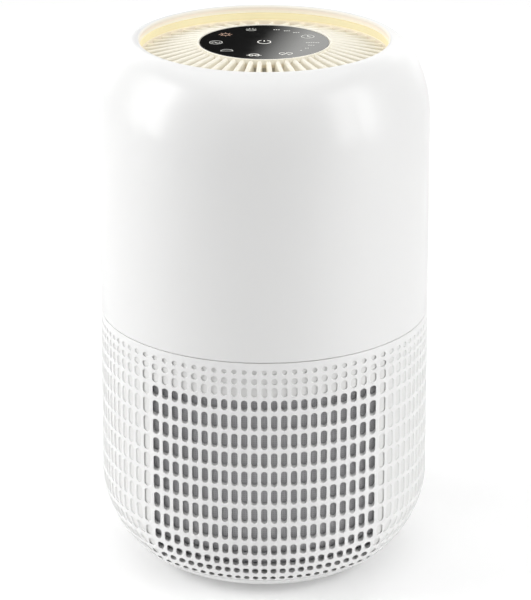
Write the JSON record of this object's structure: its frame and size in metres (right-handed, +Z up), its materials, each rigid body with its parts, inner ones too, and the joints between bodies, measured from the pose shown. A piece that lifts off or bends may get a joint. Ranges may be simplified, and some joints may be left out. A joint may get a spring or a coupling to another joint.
{
  "type": "air purifier",
  "caption": "Round tower air purifier with a slotted intake wall, domed shoulder, radial-fin top outlet with a light ring, black touch panel and twist-off base.",
  "frame": {"origin": "on the floor under the middle of the object, at the plane of the four feet", "axes": "+Z up along the round body's axis, -Y towards the front with the slotted wall and the panel's lower edge, +X to the right seen from the front"},
  "size_m": [0.22, 0.2196, 0.36],
  "materials": {
    "shell_white": "satin-gloss moulded ABS",
    "grille_cream": "satin moulded ABS",
    "light_diffuser": "frosted diffuser, lit warm",
    "panel_black": "polished black touch panel",
    "inner_plastic": "plain moulded",
    "fan_plastic": "glass-filled nylon",
    "filter_frame": "plain moulded",
    "filter_paper": "pleated non-woven",
    "prefilter_mesh": "fine woven mesh",
    "carbon_granules": "granular",
    "pull_tab_fabric": "woven strap",
    "foam_gasket": "closed-cell foam",
    "foot_rubber": "matte",
    "steel": "turned",
    "die_cast": "as cast",
    "magnet_ferrite": "sintered",
    "copper_winding": "enamelled wire",
    "circuit_board": "solder mask",
    "led_board": "white solder mask",
    "inlet_black": "satin",
    "screw_zinc": "zinc plated"
  },
  "bodies": {
    "housing": {"upper_shell": "shell_white", "intake_shell": "shell_white", "filter_top_cap": "filter_frame", "filter_bottom_cap": "filter_frame", "filter_media": "filter_paper", "carbon_layer": "carbon_granules", "prefilter_mesh": "prefilter_mesh", "filter_pull_tab": "pull_tab_fabric", "filter_gasket": "foam_gasket", "deck_plate": "inner_plastic", "inlet_guard": "inner_plastic", "fan_housing": "inner_plastic", "motor_stator": "copper_winding", "motor_base": "die_cast", "bearing_lower": "steel", "bearing_upper": "steel", "outlet_grille": "grille_cream", "light_ring": "light_diffuser", "led_board": "led_board", "panel_carrier": "inner_plastic", "touch_board": "circuit_board", "control_panel": "panel_black", "main_board": "circuit_board", "power_inlet": "inlet_black", "shell_screw_1": "screw_zinc", "shell_screw_2": "screw_zinc", "shell_screw_3": "screw_zinc", "shell_screw_4": "screw_zinc", "duct_screw_1": "screw_zinc", "duct_screw_2": "screw_zinc", "duct_screw_3": "screw_zinc", "motor_screw_1": "screw_zinc", "motor_screw_2": "screw_zinc", "motor_screw_3": "screw_zinc"},
    "fan_rotor": {"impeller": "fan_plastic", "impeller_shroud": "fan_plastic", "rotor_can": "steel", "rotor_magnet": "magnet_ferrite", "motor_shaft": "steel"},
    "bottom": {"base_cover": "shell_white", "foot_1": "foot_rubber", "foot_2": "foot_rubber", "foot_3": "foot_rubber", "foot_4": "foot_rubber"}
  },
  "joints": [
    {"name": "fan_spin", "type": "hinge", "parent": "housing", "child": "fan_rotor", "pos_m": [0, 0, 0.236], "axis": [0, 0, 1], "continuous": true},
    {"name": "base_twist", "type": "hinge", "parent": "housing", "child": "bottom", "pos_m": [0, 0, 0.0143], "axis": [0, 0, 1], "range_deg": [0, 20]}
  ]
}
